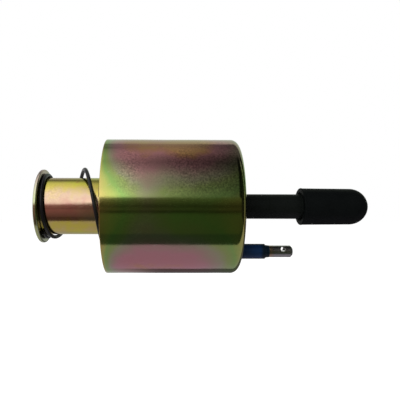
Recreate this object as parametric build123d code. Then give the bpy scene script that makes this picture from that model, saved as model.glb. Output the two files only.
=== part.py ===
"""Push solenoid with a captive plunger, a conical return spring and a rubber-tipped push rod.

The axis of the plunger is X, and +X is the way the rod pushes. Z is up. The origin is on the
axis, at the middle of the can's length. The part is drawn at rest: no current, spring extended.
All sizes are in millimetres.
"""
from build123d import *
import math
import os

# Can: a drawn steel cup, closed at the rod end, its open rim spun over the front plate
can_diameter = 50.8
can_length = 49.2
can_wall = 1.6
can_corner_radius = 2.8
can_inner_corner_radius = 1.2
rim_wall = 1.0
rim_lip = 1.0
rim_edge_round = 0.3

# Fits between pieces that do not move on each other
seat_clearance = 0.05
loose_clearance = 0.15

# Front plate: the steel flux plate in the mouth of the can
plate_thickness = 4.0
plate_bore_chamfer = 0.4
tube_seat_depth = 1.2

# Plunger: turned steel, a barrel that shows, a larger captive head and a conical nose
plunger_diameter = 21.6
plunger_head_diameter = 23.0
running_clearance = 0.1
stroke = 18.0
barrel_shown = 23.6
rest_gap = 0.1
nose_length = 6.0
nose_face_diameter = 13.0
barrel_edge_chamfer = 0.3
head_edge_chamfer = 0.4
centre_drill_diameter = 3.2

# Plunger neck, which carries the spring retainer and its clip
neck_diameter = 16.0
neck_tail = 0.5
neck_chamfer = 0.3
clip_thickness = 1.0
clip_groove_depth = 0.6
clip_width = 1.5
clip_gap_angle = 40.0
clip_direction = 60.0
clip_lug_diameter = 3.2
clip_lug_hole = 1.2

# Spring retainer: a washer with a rolled rim
retainer_diameter = 27.9
retainer_thickness = 1.4
retainer_edge_round = 0.5

# Return spring: conical, closed at both ends
wire_diameter = 1.4
spring_clearance = 0.3
spring_large_diameter = 32.8
spring_pitch = 27.0
spring_seat_turn = 0.67
spring_end_turn = 0.75
spring_phase = 117.2
spring_opening_share = 0.51
spring_closing_share = 0.19
spring_flare_share = 0.36
spring_points_per_turn = 16

# Guide tube and bobbin
guide_wall = 0.5
bobbin_wall = 1.2
bobbin_flange = 1.5
bobbin_flange_clearance = 0.4
winding_cover = 0.5
wrap_thickness = 0.4
insulator_thickness = 0.8
spring_washer_thickness = 0.5
spring_washer_height = 1.3
spring_washer_width = 5.0

# Pole piece: the fixed core, with a conical seat for the nose, riveted into the can's end
pole_length = 15.0
pole_recess_depth = 5.0
pole_gap = 0.3
pole_spigot_diameter = 17.0
stake_ring_diameter = 14.8
stake_ring_width = 0.8
stake_ring_depth = 0.4
stop_washer_thickness = 0.6
stop_washer_rim = 0.25
closing_gap = 0.1

# Push rod and its bush
rod_diameter = 9.5
rod_shown = 24.7
rod_bore_clearance = 0.4
rod_stud_diameter = 8.0
rod_stud_length = 13.0
rod_end_chamfer = 0.6
bush_wall = 1.5
bush_length = 9.6
bush_mouth_chamfer = 0.4

# Tip cap: moulded rubber, pushed over the rod's end
cap_diameter = 14.1
cap_tip_diameter = 13.8
cap_length = 26.0
cap_lip_diameter = 14.5
cap_lip_length = 1.6
cap_lip_round = 0.4
cap_mouth_depth = 1.0
cap_mouth_width = 0.8
cap_grip = 17.0
bead_height = 0.5
bead_width = 1.6
bead_place = 8.0

# Lead outlet, a little inboard of the winding's middle, and the insulated pin terminal under the rod
lead_inboard = 0.65
lead_bush_diameter = 4.6
lead_bush_flange = 6.6
lead_bush_flange_thickness = 0.7
lead_diameter = 2.6
lead_in_barrel = 3.4
lead_sink = 1.0
sleeve_diameter = 5.8
sleeve_length = 10.9
sleeve_gap = 0.3
sleeve_nose_diameter = 4.9
sleeve_nose_wall = 0.1
sleeve_nose_length = 1.5
sleeve_edge_round = 0.25
pin_diameter = 4.5
pin_wall = 0.5
pin_shown = 9.0
pin_end_chamfer = 0.7
pin_seam = 0.25
pin_hole_diameter = 1.8
pin_hole_from_end = 3.8
pin_hole_rise = 0.95
crimp_diameter = 4.1
crimp_length = 7.0

# Earth lead from the winding to the can's end
earth_lead_diameter = 1.2
earth_lead_sink = 0.8

# Places along the axis, worked out from the sizes above
can_front = -can_length / 2
can_end = can_length / 2
can_floor = can_end - can_wall
plate_back = can_front + plate_thickness
tube_front = plate_back - tube_seat_depth
pole_face = can_floor - pole_length
recess_floor = pole_face + pole_recess_depth
stop_face = recess_floor - stop_washer_thickness
nose_face = stop_face - closing_gap - stroke
nose_shoulder = nose_face - nose_length
head_shoulder = tube_front + rest_gap
barrel_front = can_front - barrel_shown
retainer_front = barrel_front - retainer_thickness
clip_front = retainer_front - clip_thickness
neck_front = clip_front - neck_tail
bush_front = can_end - bush_length
cap_front = can_end + rod_shown
cap_tip = cap_front + cap_length
rod_end = cap_front + cap_grip
rear_insulator_front = can_floor - insulator_thickness
bobbin_front = plate_back + spring_washer_height + insulator_thickness
bobbin_back = rear_insulator_front
sleeve_front = can_end + sleeve_gap
sleeve_back = sleeve_front + sleeve_length
sleeve_nose_end = sleeve_back + sleeve_nose_length
pin_end = sleeve_nose_end + pin_shown
crimp_front = sleeve_nose_end - crimp_length

# Diameters worked out from the sizes above
can_bore = can_diameter - 2 * can_wall
plate_seat = can_diameter - 2 * rim_wall
plate_diameter = plate_seat - 2 * seat_clearance
guide_bore = plunger_head_diameter + 2 * running_clearance
guide_diameter = guide_bore + 2 * guide_wall
bobbin_bore = guide_diameter + 2 * seat_clearance
bobbin_core = bobbin_bore + 2 * bobbin_wall
bobbin_diameter = can_bore - 2 * bobbin_flange_clearance
winding_diameter = bobbin_diameter - 2 * winding_cover - 2 * wrap_thickness
winding_bore = bobbin_core + 2 * seat_clearance
terminal_drop = (winding_bore + winding_diameter) / 4 - lead_inboard
rod_bore = rod_diameter + 2 * rod_bore_clearance
bush_bore = rod_diameter + 2 * running_clearance
bush_diameter = bush_bore + 2 * bush_wall
recess_floor_diameter = nose_face_diameter + 2 * pole_gap
nose_slope = (plunger_head_diameter - nose_face_diameter) / 2 / nose_length
recess_mouth_diameter = recess_floor_diameter + 2 * nose_slope * pole_recess_depth
spring_small_diameter = plunger_diameter + 2 * spring_clearance + wire_diameter
terminal_axis = Pos(0, 0, -terminal_drop)
earth_axis = Pos(0, 0, terminal_drop)


def bar(start, end, diameter):
    """A round bar along the axis."""
    upright = Cylinder(diameter / 2, end - start, align=(Align.CENTER, Align.CENTER, Align.MIN))
    return Pos(start, 0, 0) * Rot(0, 90, 0) * upright


def taper(start, end, start_diameter, end_diameter):
    """A round bar whose diameter changes evenly along the axis."""
    base = (Align.CENTER, Align.CENTER, Align.MIN)
    upright = Cone(start_diameter / 2, end_diameter / 2, end - start, align=base)
    return Pos(start, 0, 0) * Rot(0, 90, 0) * upright


def ring(start, end, outer, inner):
    """A washer or tube along the axis."""
    return bar(start, end, outer) - bar(start, end, inner)


def rims(solid, place, diameter):
    """The round edges of one diameter that lie at one place along the axis."""
    slack = 0.001
    found = []
    for edge in solid.edges().filter_by(GeomType.CIRCLE):
        at_place = abs(edge.arc_center.X - place) < slack
        if at_place and abs(edge.radius - diameter / 2) < slack:
            found.append(edge)
    return found


def make_can_shell():
    """Cup with a rounded closed end and a rim that is spun inwards over the front plate."""
    cup = bar(can_front, can_end, can_diameter)
    cup = fillet(rims(cup, can_end, can_diameter), can_corner_radius)
    cup = fillet(rims(cup, can_front, can_diameter), rim_edge_round)
    hollow = bar(plate_back, can_floor, can_bore)
    hollow = fillet(rims(hollow, can_floor, can_bore), can_inner_corner_radius)
    seat = bar(can_front + rim_lip, plate_back, plate_seat)
    lip = taper(can_front, can_front + rim_lip, plate_seat - 2 * rim_lip, plate_seat)
    pole_hole = bar(can_floor, can_end, pole_spigot_diameter + 2 * seat_clearance)
    lead_hole = terminal_axis * bar(can_floor, can_end, lead_bush_diameter + 2 * seat_clearance)
    return cup - hollow - seat - lip - pole_hole - lead_hole


def make_front_plate():
    """Flux plate with a chamfer under the spun rim, a plunger bore and a seat for the guide tube."""
    plate = bar(can_front, plate_back, plate_diameter)
    plate = chamfer(rims(plate, can_front, plate_diameter), rim_lip)
    bore_diameter = plunger_diameter + 2 * running_clearance
    plate -= bar(can_front, plate_back, bore_diameter)
    plate -= bar(tube_front, plate_back, guide_diameter + 2 * seat_clearance)
    return chamfer(rims(plate, can_front, bore_diameter), plate_bore_chamfer)


def make_guide_tube():
    """Brass tube in which the plunger's head slides and which holds the pole piece."""
    return ring(tube_front, can_floor, guide_diameter, guide_bore)


def make_pole_piece():
    """Fixed core with a conical seat, a rod bore and a spigot riveted flush with the can's end."""
    core = bar(pole_face, can_floor, guide_bore - 2 * seat_clearance)
    core += bar(can_floor, can_end, pole_spigot_diameter)
    core -= taper(pole_face, recess_floor, recess_mouth_diameter, recess_floor_diameter)
    core -= bar(recess_floor, can_end, rod_bore)
    core -= bar(bush_front, can_end, bush_diameter + 2 * seat_clearance)
    stake_inner = stake_ring_diameter - 2 * stake_ring_width
    core -= ring(can_end - stake_ring_depth, can_end, stake_ring_diameter, stake_inner)
    return core


def make_stop_washer():
    """Thin brass washer that keeps the nose from sticking to the pole piece."""
    outer = recess_floor_diameter - 2 * stop_washer_rim
    return ring(stop_face, recess_floor, outer, rod_bore)


def make_rod_bush():
    """Plain bush that guides the push rod in the pole piece."""
    bush = ring(bush_front, can_end, bush_diameter, bush_bore)
    return chamfer(rims(bush, can_end, bush_bore), bush_mouth_chamfer)


def make_bobbin():
    """Moulded spool with two flanges and two notched holes for the leads."""
    spool = bar(bobbin_front, bobbin_back, bobbin_core)
    spool += bar(bobbin_front, bobbin_front + bobbin_flange, bobbin_diameter)
    spool += bar(bobbin_back - bobbin_flange, bobbin_back, bobbin_diameter)
    spool -= bar(bobbin_front, bobbin_back, bobbin_bore)
    flange_front = bobbin_back - bobbin_flange
    spool -= terminal_axis * bar(flange_front, bobbin_back, lead_diameter + 2 * loose_clearance)
    spool -= earth_axis * bar(flange_front, bobbin_back, earth_lead_diameter + 2 * loose_clearance)
    return spool


def make_coil_winding():
    """Enamelled copper winding, filled level between the flanges."""
    start = bobbin_front + bobbin_flange
    end = bobbin_back - bobbin_flange
    winding = ring(start, end, winding_diameter, winding_bore)
    winding -= terminal_axis * bar(end - lead_sink, end, lead_diameter + 2 * loose_clearance)
    earth_hole = earth_lead_diameter + 2 * loose_clearance
    return winding - earth_axis * bar(end - earth_lead_sink, end, earth_hole)


def make_coil_wrap():
    """Insulating tape wound over the copper."""
    start = bobbin_front + bobbin_flange
    end = bobbin_back - bobbin_flange
    inner = winding_diameter + 2 * seat_clearance
    return ring(start, end, inner + 2 * wrap_thickness, inner)


def make_front_insulator():
    """Fibre washer between the bobbin and the spring washer."""
    start = plate_back + spring_washer_height
    return ring(start, bobbin_front, bobbin_diameter, bobbin_bore)


def make_rear_insulator():
    """Fibre washer between the bobbin and the can's end, with holes for the leads."""
    inside_corner = can_bore - 2 * can_inner_corner_radius
    washer = ring(rear_insulator_front, can_floor, inside_corner, bobbin_bore)
    washer -= terminal_axis * bar(can_floor - lead_bush_flange_thickness, can_floor,
                                  lead_bush_flange + 2 * loose_clearance)
    washer -= terminal_axis * bar(rear_insulator_front, can_floor, lead_diameter + 2 * loose_clearance)
    earth_hole = earth_lead_diameter + 2 * loose_clearance
    return washer - earth_axis * bar(rear_insulator_front, can_floor, earth_hole)


def make_spring_washer():
    """Dished spring steel washer that takes up the bobbin's end play."""
    outer = bobbin_diameter - 2 * loose_clearance
    inner = outer - 2 * spring_washer_width
    dish = spring_washer_height - spring_washer_thickness
    outline = Polyline(
        (plate_back, inner / 2),
        (plate_back + spring_washer_thickness, inner / 2),
        (plate_back + spring_washer_height, outer / 2),
        (plate_back + dish, outer / 2),
        close=True,
    )
    return revolve(Plane.XZ * make_face(outline), Axis.X)


def make_lead_bush():
    """Insulating bush that lines the lead's hole, held by its flange inside the can."""
    bush = bar(can_floor, can_end, lead_bush_diameter)
    bush += bar(can_floor - lead_bush_flange_thickness, can_floor, lead_bush_flange)
    bush -= bar(can_floor - lead_bush_flange_thickness, can_end, lead_diameter + 2 * seat_clearance)
    return terminal_axis * bush


def make_lead_wire():
    """Short insulated lead from the winding to the terminal's crimp barrel."""
    start = bobbin_back - bobbin_flange - lead_sink
    return terminal_axis * bar(start, crimp_front + lead_in_barrel, lead_diameter)


def make_earth_lead():
    """Bare wire from the winding's other end, spot welded to the can's end."""
    start = bobbin_back - bobbin_flange - earth_lead_sink
    return earth_axis * bar(start, can_floor, earth_lead_diameter)


def make_terminal_sleeve():
    """Moulded insulating sleeve with a stepped nose, over the terminal's crimp barrel."""
    sleeve = bar(sleeve_front, sleeve_back, sleeve_diameter)
    sleeve = fillet(rims(sleeve, sleeve_front, sleeve_diameter), sleeve_edge_round)
    sleeve = fillet(rims(sleeve, sleeve_back, sleeve_diameter), sleeve_edge_round)
    sleeve += taper(sleeve_back, sleeve_nose_end, sleeve_nose_diameter, pin_diameter + sleeve_nose_wall)
    sleeve -= bar(sleeve_front, sleeve_nose_end, crimp_diameter + 2 * seat_clearance)
    return terminal_axis * sleeve


def make_terminal_pin():
    """Tinned brass pin rolled from strip: crimp barrel, hollow pin, cross hole and back seam."""
    pin = bar(sleeve_nose_end, pin_end, pin_diameter)
    pin = chamfer(rims(pin, pin_end, pin_diameter), pin_end_chamfer)
    pin += bar(crimp_front, sleeve_nose_end, crimp_diameter)
    pin -= bar(crimp_front, crimp_front + lead_in_barrel, lead_diameter + 2 * seat_clearance)
    pin -= bar(sleeve_nose_end + pin_wall, pin_end, pin_diameter - 2 * pin_wall - pin_end_chamfer)
    hole_place = Pos(pin_end - pin_hole_from_end, 0, pin_hole_rise) * Rot(90, 0, 0)
    pin -= hole_place * Cylinder(pin_hole_diameter / 2, 2 * pin_diameter)
    seam = Box(pin_shown, pin_diameter, pin_seam, align=(Align.MAX, Align.MIN, Align.CENTER))
    pin -= Pos(pin_end, 0, 0) * seam
    return terminal_axis * pin


def make_plunger():
    """Turned plunger: grooved neck, plated barrel, captive head, conical nose and stud socket."""
    body = bar(barrel_front, head_shoulder, plunger_diameter)
    body = chamfer(rims(body, barrel_front, plunger_diameter), barrel_edge_chamfer)
    head = bar(head_shoulder, nose_shoulder, plunger_head_diameter)
    body += chamfer(rims(head, head_shoulder, plunger_head_diameter), head_edge_chamfer)
    body += taper(nose_shoulder, nose_face, plunger_head_diameter, nose_face_diameter)
    neck = bar(neck_front, barrel_front, neck_diameter)
    body += chamfer(rims(neck, neck_front, neck_diameter), neck_chamfer)
    groove_floor = neck_diameter - 2 * clip_groove_depth
    body -= ring(clip_front, retainer_front, neck_diameter, groove_floor)
    body -= taper(neck_front, neck_front + centre_drill_diameter / 2, centre_drill_diameter, 0)
    socket_end = nose_face - rod_stud_length
    body -= bar(socket_end, nose_face, rod_stud_diameter + 2 * seat_clearance)
    return body


def make_spring_retainer():
    """Washer on the plunger's neck whose rounded rim stands proud of the barrel."""
    washer = ring(retainer_front, barrel_front, retainer_diameter, neck_diameter + 2 * seat_clearance)
    washer = fillet(rims(washer, retainer_front, retainer_diameter), retainer_edge_round)
    return fillet(rims(washer, barrel_front, retainer_diameter), retainer_edge_round)


def make_retainer_clip():
    """External circlip: an open ring with two eyed lugs."""
    inner = neck_diameter - 2 * clip_groove_depth + 2 * seat_clearance
    outer = inner + 2 * clip_width
    clip = ring(clip_front, retainer_front, outer, inner)
    lug_reach = (inner + clip_lug_diameter) / 2
    half_gap = clip_gap_angle / 2
    gap_width = outer * math.sin(math.radians(half_gap))
    gap = Box(clip_thickness, outer, gap_width, align=(Align.MIN, Align.MIN, Align.CENTER))
    clip -= Rot(clip_direction, 0, 0) * Pos(clip_front, 0, 0) * gap
    for side in (-1, 1):
        lug = Rot(clip_direction + side * half_gap, 0, 0) * Pos(0, lug_reach, 0)
        clip += lug * bar(clip_front, retainer_front, clip_lug_diameter)
        clip -= lug * bar(clip_front, retainer_front, clip_lug_hole)
    return clip


def spring_path():
    """Centreline of the conical coil, from its closed seat coil to its closed large end coil."""
    seat = barrel_front + wire_diameter / 2 + seat_clearance
    far_seat = can_front - wire_diameter / 2 - seat_clearance
    # Turns that the whole rise would take at full pitch; while the pitch grows or falls it takes twice
    full_pitch_turns = (far_seat - seat) / spring_pitch
    opening_turns = 2 * full_pitch_turns * spring_opening_share
    closing_turns = 2 * full_pitch_turns * spring_closing_share
    held_turns = full_pitch_turns * (1 - spring_opening_share - spring_closing_share)
    open_turns = opening_turns + held_turns + closing_turns
    all_turns = spring_seat_turn + open_turns + spring_end_turn
    flare_start = open_turns * spring_flare_share
    small_radius = spring_small_diameter / 2
    flare_width = spring_large_diameter / 2 - small_radius
    points = []
    count = round(all_turns * spring_points_per_turn)
    for index in range(count + 1):
        turn = all_turns * index / count - spring_seat_turn
        opening = min(max(turn, 0), opening_turns)
        held = min(max(turn - opening_turns, 0), held_turns)
        closing = min(max(turn - opening_turns - held_turns, 0), closing_turns)
        rise = opening ** 2 / (2 * opening_turns) + held + closing - closing ** 2 / (2 * closing_turns)
        flare = min(max((turn - flare_start) / (open_turns - flare_start), 0), 1)
        radius = small_radius + flare_width * flare
        angle = math.radians(spring_phase + 360 * turn)
        place = seat + spring_pitch * rise
        points.append((place, radius * math.cos(angle), radius * math.sin(angle)))
    return Spline(*points)


def make_return_spring():
    """Round wire swept along the conical coil."""
    path = spring_path()
    section = Plane(origin=path @ 0, z_dir=path % 0) * Circle(wire_diameter / 2)
    return sweep(section, path=path)


def make_push_rod():
    """Black rod with a threaded stud in the plunger and a groove for the cap's bead."""
    rod = bar(nose_face, rod_end, rod_diameter)
    rod = chamfer(rims(rod, rod_end, rod_diameter), rod_end_chamfer)
    rod += bar(nose_face - rod_stud_length, nose_face, rod_stud_diameter)
    groove = cap_front + bead_place
    return rod - ring(groove, groove + bead_width, rod_diameter, rod_diameter - 2 * bead_height)


def make_tip_cap():
    """Moulded rubber cap with a domed end, a raised round lip, a flared mouth and an inner bead."""
    dome_centre = cap_tip - cap_tip_diameter / 2
    cap = taper(cap_front, dome_centre, cap_diameter, cap_tip_diameter)
    cap += taper(cap_front, cap_front + cap_lip_length, cap_lip_diameter, cap_tip_diameter)
    cap = fillet(rims(cap, cap_front, cap_lip_diameter), cap_lip_round)
    cap += Pos(dome_centre, 0, 0) * Sphere(cap_tip_diameter / 2)
    bore = rod_diameter + 2 * seat_clearance
    socket = bar(cap_front, rod_end + seat_clearance, bore)
    groove = cap_front + bead_place + seat_clearance
    bead_end = groove + bead_width - 2 * seat_clearance
    socket -= ring(groove, bead_end, bore, bore - 2 * bead_height)
    mouth = taper(cap_front, cap_front + cap_mouth_depth, bore + 2 * cap_mouth_width, bore)
    return cap - socket - mouth


makers = {
    "can_shell": make_can_shell,
    "front_plate": make_front_plate,
    "guide_tube": make_guide_tube,
    "pole_piece": make_pole_piece,
    "stop_washer": make_stop_washer,
    "rod_bush": make_rod_bush,
    "bobbin": make_bobbin,
    "coil_winding": make_coil_winding,
    "coil_wrap": make_coil_wrap,
    "front_insulator": make_front_insulator,
    "rear_insulator": make_rear_insulator,
    "spring_washer": make_spring_washer,
    "lead_bush": make_lead_bush,
    "lead_wire": make_lead_wire,
    "earth_lead": make_earth_lead,
    "terminal_sleeve": make_terminal_sleeve,
    "terminal_pin": make_terminal_pin,
    "plunger": make_plunger,
    "spring_retainer": make_spring_retainer,
    "retainer_clip": make_retainer_clip,
    "return_spring": make_return_spring,
    "push_rod": make_push_rod,
    "tip_cap": make_tip_cap,
}

os.makedirs("parts", exist_ok=True)
for name, maker in makers.items():
    export_step(maker(), f"parts/{name}.step")
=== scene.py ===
import math

import bpy
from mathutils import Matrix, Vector


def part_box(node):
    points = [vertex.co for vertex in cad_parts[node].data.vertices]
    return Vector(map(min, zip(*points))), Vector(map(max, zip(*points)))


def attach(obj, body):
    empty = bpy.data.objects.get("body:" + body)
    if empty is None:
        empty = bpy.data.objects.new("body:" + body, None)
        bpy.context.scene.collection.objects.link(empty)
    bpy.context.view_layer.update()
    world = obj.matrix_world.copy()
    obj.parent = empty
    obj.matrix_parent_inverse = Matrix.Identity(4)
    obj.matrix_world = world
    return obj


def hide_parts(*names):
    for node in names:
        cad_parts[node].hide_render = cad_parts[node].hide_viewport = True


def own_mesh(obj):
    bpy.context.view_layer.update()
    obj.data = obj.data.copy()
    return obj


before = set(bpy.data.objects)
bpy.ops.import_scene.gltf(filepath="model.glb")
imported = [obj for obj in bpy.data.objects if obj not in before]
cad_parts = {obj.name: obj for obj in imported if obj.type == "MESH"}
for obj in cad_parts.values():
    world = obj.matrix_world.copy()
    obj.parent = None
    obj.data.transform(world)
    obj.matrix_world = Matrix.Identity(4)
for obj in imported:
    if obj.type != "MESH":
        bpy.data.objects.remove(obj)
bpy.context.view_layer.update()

# Can shell
# A drawn steel cup, zinc plated and dipped in yellow chromate, which leaves an oily film of green,
# gold and pink. One end is closed by a rounded corner, the open rim is spun in over the front plate.
can_low, can_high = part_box("can_shell")
plate_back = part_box("front_plate")[1].x
can_radius = can_high.z
can_wall = 0.0016
can_corner = 0.0028
can_inner_corner = 0.0012
can_rim_wall = 0.0010
can_rim_round = 0.0003
can_hole_round = 0.0001
can_wave_height = 0.000012
can_wave_fade = 0.004
pole_hole_radius = 0.00855
lead_hole_radius = 0.00235
terminal_drop = -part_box("lead_wire")[0].lerp(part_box("lead_wire")[1], 0.5).z


def rounded(corners, step=0.001):
    """Closed section line through (x, radius, rounding) corners, with evenly divided straight runs."""
    guard = 0.00008
    arc_step = math.radians(9)
    arcs = []
    for index, (x, radius, rounding) in enumerate(corners):
        here = Vector((x, radius))
        before = (Vector(corners[index - 1][:2]) - here).normalized()
        after = (Vector(corners[(index + 1) % len(corners)][:2]) - here).normalized()
        if rounding == 0:
            arcs.append([here])
            continue
        half = before.angle(after) / 2
        middle = here + (before + after).normalized() * rounding / math.sin(half)
        first = here + before * rounding / math.tan(half) - middle
        last = here + after * rounding / math.tan(half) - middle
        turn = last.angle_signed(first)
        count = max(3, round(abs(turn) / arc_step))
        spokes = [turn * share / count for share in range(count + 1)]
        start = math.atan2(first.y, first.x)
        directions = [Vector((math.cos(start + spoke), math.sin(start + spoke))) for spoke in spokes]
        arcs.append([middle + rounding * direction for direction in directions])
    line = []
    for index, arc in enumerate(arcs):
        line += arc
        start = arc[-1]
        end = arcs[(index + 1) % len(arcs)][0]
        length = (end - start).length
        if length < 4 * guard:
            continue
        count = math.ceil((length - 2 * guard) / step)
        for part in range(count + 1):
            reach = guard + (length - 2 * guard) * part / count
            line.append(start.lerp(end, reach / length))
    return line


def turned(name, line, wave):
    """Mesh made by turning a closed section line round the X axis, with waves added to its radius."""
    segments = 192
    points = []
    for segment in range(segments):
        angle = 2 * math.pi * segment / segments
        for x, radius in line:
            reach = radius + wave(x, radius, angle)
            points.append((x, reach * math.cos(angle), reach * math.sin(angle)))
    faces = []
    row = len(line)
    for segment in range(segments):
        here = segment * row
        beyond = (segment + 1) % segments * row
        for index in range(row):
            after = (index + 1) % row
            faces.append((here + index, here + after, beyond + after, beyond + index))
    mesh = bpy.data.meshes.new(name)
    mesh.from_pydata(points, [], faces)
    return mesh


def smooth(mesh, sharp_from=32):
    """Smooth shading, with edges kept sharp where the faces meet at more than an angle in degrees."""
    mesh.polygons.foreach_set("use_smooth", [True] * len(mesh.polygons))
    mesh.set_sharp_from_angle(angle=math.radians(sharp_from))
    mesh.update()


def new_piece(name, mesh):
    """An object in the scene for a mesh."""
    piece = bpy.data.objects.new(name, mesh)
    bpy.context.scene.collection.objects.link(piece)
    return piece


def drill(piece, start, end, radius, axis_z):
    """Cuts a round hole along X through a piece."""
    sides = 48
    points = []
    for x in (start, end):
        for side in range(sides):
            angle = 2 * math.pi * side / sides
            points.append((x, radius * math.cos(angle), axis_z + radius * math.sin(angle)))
    faces = [tuple(range(sides))[::-1], tuple(range(sides, 2 * sides))]
    for side in range(sides):
        after = (side + 1) % sides
        faces.append((side, after, sides + after, sides + side))
    mesh = bpy.data.meshes.new("drill")
    mesh.from_pydata(points, [], faces)
    cutter = new_piece("drill", mesh)
    cut = piece.modifiers.new("hole", "BOOLEAN")
    cut.operation = "DIFFERENCE"
    cut.solver = "EXACT"
    cut.object = cutter
    graph = bpy.context.evaluated_depsgraph_get()
    drilled = bpy.data.meshes.new_from_object(piece.evaluated_get(graph))
    piece.modifiers.clear()
    piece.data = drilled
    bpy.data.objects.remove(cutter)


def can_wave(x, radius, angle):
    """Slight waviness that drawing leaves in the outside wall, none at the rim and the corner."""
    if radius < can_radius - can_wall / 2:
        return 0
    inside = min(x - can_low.x, can_high.x - can_corner - x) / can_wave_fade
    swell = math.sin(3 * angle + 210 * x) + 0.7 * math.sin(5 * angle - 350 * x + 1.3)
    return can_wave_height * swell * min(max(inside, 0), 1)


can_floor = can_high.x - can_wall
can_bore = can_radius - can_wall
can_line = rounded([
    (can_low.x, can_radius - 2 * can_rim_wall, can_hole_round),
    (can_low.x, can_radius, can_rim_round),
    (can_high.x, can_radius, can_corner),
    (can_high.x, pole_hole_radius, can_hole_round),
    (can_floor, pole_hole_radius, 0),
    (can_floor, can_bore, can_inner_corner),
    (plate_back, can_bore, 0),
    (plate_back, can_radius - can_rim_wall, 0),
    (can_low.x + can_rim_wall, can_radius - can_rim_wall, 0),
])
can = new_piece("can_wall", turned("can_wall", can_line, can_wave))
drill(can, can_floor - can_wall, can_high.x + can_wall, lead_hole_radius, -terminal_drop)
smooth(can.data)


def put(tree, kind, inputs=None, **settings):
    """A node with its settings; inputs maps each socket to a value or to the output that feeds it."""
    made = tree.nodes.new(kind)
    for setting, value in settings.items():
        setattr(made, setting, value)
    for socket, value in (inputs or {}).items():
        if isinstance(value, bpy.types.NodeSocket):
            tree.links.new(value, made.inputs[socket])
        else:
            made.inputs[socket].default_value = value
    return made


def maths(tree, operation, *values, clamp=False):
    """The result of a Math node."""
    made = put(tree, "ShaderNodeMath", dict(enumerate(values)), operation=operation, use_clamp=clamp)
    return made.outputs[0]


def noise(tree, position, scale, detail=2.0, roughness=0.5, dimensions="3D"):
    """A noise value about 0.5; position is a vector, or a length for one dimension."""
    place = "W" if dimensions == "1D" else "Vector"
    inputs = {place: position, "Scale": scale, "Detail": detail, "Roughness": roughness}
    return put(tree, "ShaderNodeTexNoise", inputs, noise_dimensions=dimensions).outputs[0]


def ramp(tree, value, stops):
    """The colour of a ramp with (place, colour) stops."""
    made = put(tree, "ShaderNodeValToRGB", {0: value})
    elements = made.color_ramp.elements
    while len(elements) < len(stops):
        elements.new(0.5)
    for element, (place, colour) in zip(elements, stops):
        element.position = place
        element.color = (*colour, 1)
    return made.outputs[0]


def span(tree, value, low, high, to_low=0.0, to_high=1.0):
    """A value carried from one range to another, smoothly and held at the ends."""
    inputs = {0: value, 1: low, 2: high, 3: to_low, 4: to_high}
    return put(tree, "ShaderNodeMapRange", inputs, interpolation_type="SMOOTHSTEP").outputs[0]


def mixed(tree, share, first, second, how="MIX"):
    """Two colours mixed by a share."""
    made = put(tree, "ShaderNodeMix", {0: share, 6: first, 7: second}, data_type="RGBA", blend_type=how)
    return made.outputs[2]


def new_group(name, ins, outs):
    """A shader node group; ins maps names to a socket type and a first value, outs names to types."""
    group = bpy.data.node_groups.new(name, "ShaderNodeTree")
    for label, (kind, value) in ins.items():
        socket = group.interface.new_socket(label, in_out="INPUT", socket_type=kind)
        if value is not None:
            socket.default_value = value
    for label, kind in outs.items():
        group.interface.new_socket(label, in_out="OUTPUT", socket_type=kind)
    return group, group.nodes.new("NodeGroupInput").outputs, group.nodes.new("NodeGroupOutput").inputs


def use(tree, group, **values):
    """A group placed in a material, with its own values; its outputs."""
    made = put(tree, "ShaderNodeGroup", node_tree=group)
    for label, value in values.items():
        socket = made.inputs[label.replace("_", " ").capitalize()]
        if isinstance(value, bpy.types.NodeSocket):
            tree.links.new(value, socket)
        else:
            socket.default_value = value
    return made.outputs


def new_material(name):
    """A material, its node tree, its Principled shader and the object's own coordinates in metres."""
    material = bpy.data.materials.new(name)
    material.use_nodes = True
    tree = material.node_tree
    shader = tree.nodes["Principled BSDF"]
    position = put(tree, "ShaderNodeTexCoord").outputs["Object"]
    return material, tree, shader, position


def x_of(tree, position):
    """The place along the part's axis."""
    return put(tree, "ShaderNodeSeparateXYZ", {0: position}).outputs["X"]


def relief(tree, shader, height, depth, under=None):
    """Gives a surface a relief with a depth in metres, over another relief if there is one."""
    inputs = {"Strength": 1.0, "Distance": depth, "Height": height}
    if under is not None:
        inputs["Normal"] = under
    made = put(tree, "ShaderNodeBump", inputs).outputs[0]
    tree.links.new(made, shader.inputs["Normal"])
    return made


VALUE = "NodeSocketFloat"
VECTOR = "NodeSocketVector"
COLOUR = "NodeSocketColor"

# The chromate film's colour goes through these tints as it gets thicker. Its thickness changes round
# the part, towards both ends, in a band before the middle and in clouds, and fine grains speckle it.
cloud_scale = 60.0
small_cloud_scale = 260.0
speckle_scale = 1600.0
speckled_patch_scale = 45.0
small_cloud_share = 0.6
clouds_middle = 0.8
band_width = 0.42
end_narrowness = 3.0
near_end_narrowing = 6.0
far_thinning_level = 0.60
far_thinning_upward = -0.42
film_zinc = (0.74, 0.70, 0.62, 1)
film_tints = [
    (0.00, (0.400, 0.330, 0.105)),
    (0.12, (0.340, 0.370, 0.100)),
    (0.24, (0.220, 0.350, 0.095)),
    (0.38, (0.255, 0.315, 0.105)),
    (0.50, (0.300, 0.285, 0.170)),
    (0.61, (0.340, 0.240, 0.180)),
    (0.73, (0.410, 0.205, 0.200)),
    (0.85, (0.430, 0.190, 0.190)),
    (0.92, (0.425, 0.205, 0.105)),
    (0.99, (0.440, 0.275, 0.075)),
    (1.04, (0.480, 0.455, 0.055)),
    (1.11, (0.490, 0.400, 0.090)),
    (1.22, (0.480, 0.345, 0.240)),
    (1.35, (0.430, 0.210, 0.180)),
]
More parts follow.
